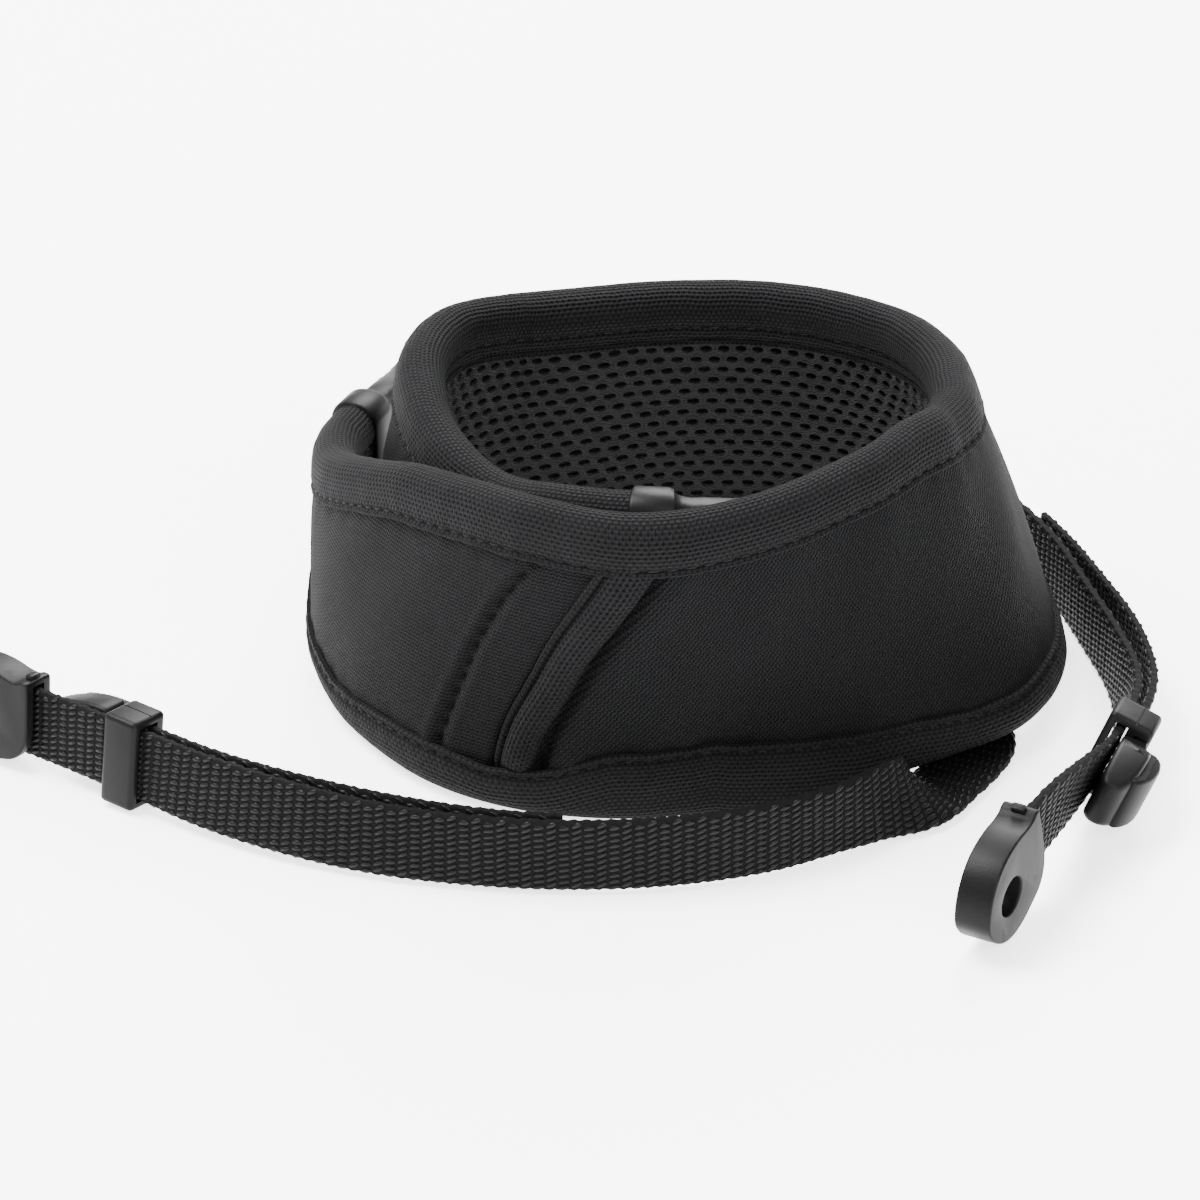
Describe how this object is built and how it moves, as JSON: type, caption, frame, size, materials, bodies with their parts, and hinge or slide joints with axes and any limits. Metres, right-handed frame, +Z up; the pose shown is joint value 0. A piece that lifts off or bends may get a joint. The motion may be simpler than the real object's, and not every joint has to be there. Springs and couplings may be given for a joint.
{
  "type": "binocular strap",
  "caption": "Padded neck strap for binoculars, its curved foam pad wound into a standing coil, with flat webbing, lever adjusters and round-eyed connectors at both ends.",
  "frame": {"origin": "centre of the part's box, on the floor it stands on", "axes": "+Z up, with the pad standing on its lower edge; +X to the right along the longest extent; +Y towards the back of the coil"},
  "size_m": [0.1906, 0.1634, 0.0554],
  "materials": {
    "knit_face": "matte black knit",
    "air_mesh": "matte black spacer mesh",
    "binding_tape": "matte black ribbed tape",
    "flat_webbing": "woven black, slight sheen",
    "satin_plastic": "satin dark grey"
  },
  "bodies": {
    "strap": {"outer_panel": "knit_face", "seam_roll": "binding_tape", "mesh_lining": "air_mesh", "lower_binding": "binding_tape", "upper_binding": "binding_tape", "inner_end_fitting": "satin_plastic", "outer_end_fitting": "satin_plastic", "left_webbing": "flat_webbing", "left_webbing_tail": "flat_webbing", "right_webbing": "flat_webbing", "right_webbing_tail": "flat_webbing", "left_adjuster_sleeve": "satin_plastic", "right_adjuster_sleeve": "satin_plastic", "left_connector": "satin_plastic", "right_connector": "satin_plastic"},
    "left_lever": {"left_adjuster_lever": "satin_plastic"},
    "right_lever": {"right_adjuster_lever": "satin_plastic"}
  },
  "joints": [
    {"name": "left_lever_hinge", "type": "hinge", "parent": "strap", "child": "left_lever", "pos_m": [-0.0631, -0.02902, 0.00771], "axis": [-0.0833, -0.0553, -0.995], "range_deg": [0, 60]},
    {"name": "right_lever_hinge", "type": "hinge", "parent": "strap", "child": "right_lever", "pos_m": [0.08915, -0.0344, 0.00766], "axis": [0.3574, -0.0991, 0.9287], "range_deg": [0, 60]}
  ]
}
